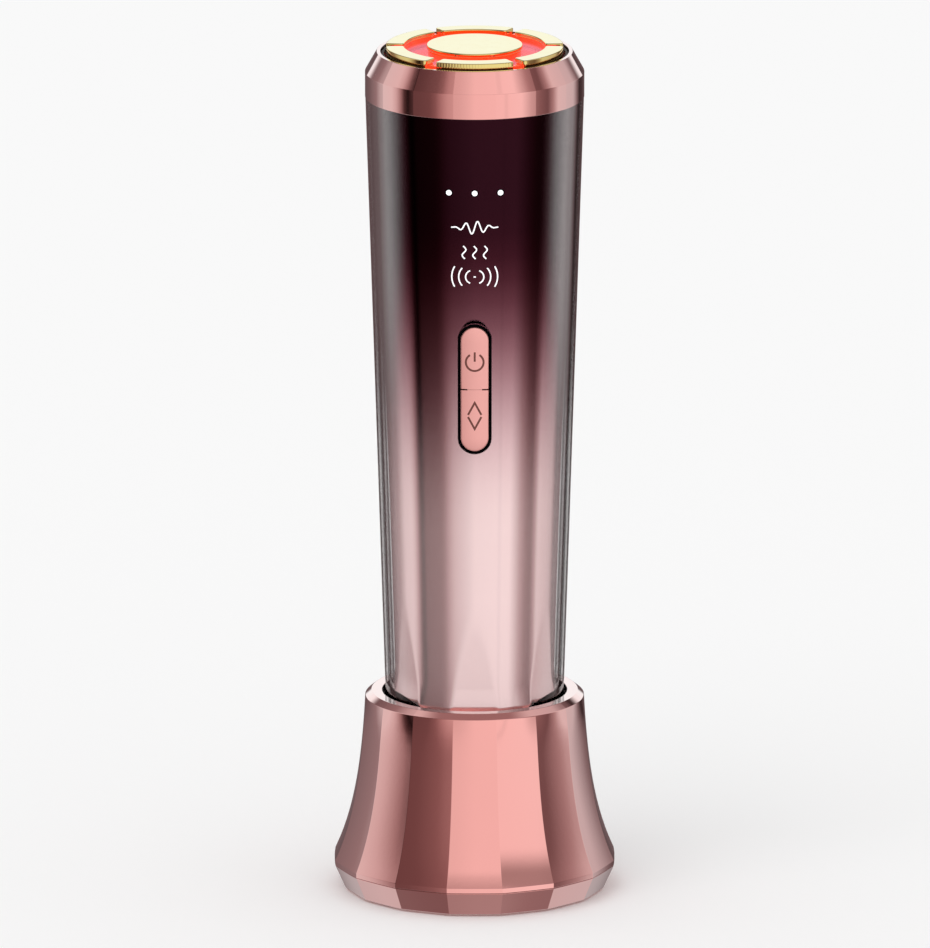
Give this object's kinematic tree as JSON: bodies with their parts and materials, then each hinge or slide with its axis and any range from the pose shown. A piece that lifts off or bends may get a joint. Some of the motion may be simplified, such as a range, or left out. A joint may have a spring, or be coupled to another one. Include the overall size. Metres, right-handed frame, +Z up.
{
  "type": "rf facial device",
  "caption": "Facial care wand with a ring-and-disc electrode head, faceted collar, clear sleeve and two-ended key, standing in a flared charging stand.",
  "frame": {"origin": "middle of the stand's underside, on the surface it rests on", "axes": "+Z up along the wand, keys and indicator lights face -Y, charging socket faces +Y"},
  "size_m": [0.0636, 0.0636, 0.1952],
  "materials": {
    "rose_plated": "rose-gold vacuum-plated ABS, mirror bright",
    "black_liner": "black ABS, fine grain",
    "weight_steel": "zinc-plated steel",
    "black_rubber": "soft black rubber",
    "screw_steel": "zinc-plated steel",
    "green_board": "solder mask over glass fibre",
    "white_board": "white solder mask over glass fibre",
    "socket_steel": "drawn stainless steel",
    "brass_fitting": "turned brass",
    "gold_contact": "gold-plated brass",
    "clear_sleeve": "clear polished acrylic",
    "faded_core": "sprayed fade from near-black wine to pale pink, pearl",
    "pink_light_guide": "pink translucent moulding, lit red from below",
    "gold_electrode": "pale gold plating on brass, mirror bright",
    "white_ceramic": "silvered ceramic",
    "amber_film": "polyimide film",
    "red_lamp": "lit red lamp",
    "white_lamp": "lit white lamp",
    "black_frame": "glass-filled nylon",
    "key_black": "black bezel",
    "key_pink": "rose-pink metallic lacquer, satin",
    "grey_silicone": "translucent silicone",
    "switch_body": "moulded nylon and steel",
    "milky_pipe": "milky light pipe",
    "chip_black": "epoxy moulding",
    "ferrite": "pressed ferrite",
    "cell_foil": "laminated foil pouch",
    "wire_red": "silicone insulation"
  },
  "bodies": {
    "stand": {"stand_shell": "rose_plated", "stand_foot": "rose_plated", "stand_cup": "black_liner", "stand_weight": "weight_steel", "rubber_feet": "black_rubber", "base_screws": "screw_steel", "cup_screws": "screw_steel", "dock_board": "green_board", "usb_socket": "socket_steel", "pin_housing": "black_liner", "pogo_barrels": "brass_fitting"},
    "charge_pins": {"charge_pins": "gold_contact"},
    "power_key": {"power_key": "key_pink"},
    "level_key": {"level_key": "key_pink"},
    "wand": {"battery": "cell_foil", "battery_leads": "wire_red", "board_chips": "chip_black", "board_screws": "screw_steel", "chassis": "black_frame", "contact_pads": "gold_contact", "electrode_arc_1": "gold_electrode", "electrode_arc_2": "gold_electrode", "electrode_arc_3": "gold_electrode", "electrode_arc_4": "gold_electrode", "electrode_arc_5": "gold_electrode", "electrode_arc_6": "gold_electrode", "electrode_centre": "gold_electrode", "head_carrier": "black_frame", "head_collar": "rose_plated", "head_flex": "amber_film", "head_screws": "screw_steel", "head_seal": "black_rubber", "heater_film": "amber_film", "indicator_leds": "white_lamp", "indicator_pipe": "milky_pipe", "inner_core": "faded_core", "key_bezel": "key_black", "key_pad": "grey_silicone", "led_board": "white_board", "light_guide": "pink_light_guide", "main_board": "green_board", "outer_sleeve": "clear_sleeve", "red_leds": "red_lamp", "rf_coil": "ferrite", "tact_switches": "switch_body", "tail_cap": "black_liner", "tail_seal": "black_rubber", "thermistor": "amber_film", "transducer": "white_ceramic"}
  },
  "joints": [
    {"name": "wand_lift", "type": "slide", "parent": "stand", "child": "wand", "axis": [0, 0, 1], "range_m": [0, 0.035]},
    {"name": "power_press", "type": "hinge", "parent": "wand", "child": "power_key", "pos_m": [0, -0.02141, 0.12024], "axis": [-1, 0, 0], "range_deg": [0, 1.5], "stiffness_Nm_per_rad": 0.5, "springref_deg": -1.15},
    {"name": "level_press", "type": "hinge", "parent": "wand", "child": "level_key", "pos_m": [0, -0.02141, 0.12024], "axis": [1, 0, 0], "range_deg": [0, 1.5], "stiffness_Nm_per_rad": 0.5, "springref_deg": -1.15},
    {"name": "pin_sink", "type": "slide", "parent": "stand", "child": "charge_pins", "axis": [0, 0, 1], "range_m": [-0.0006, 0], "stiffness_N_per_m": 1000, "springref_m": 0.0002}
  ]
}
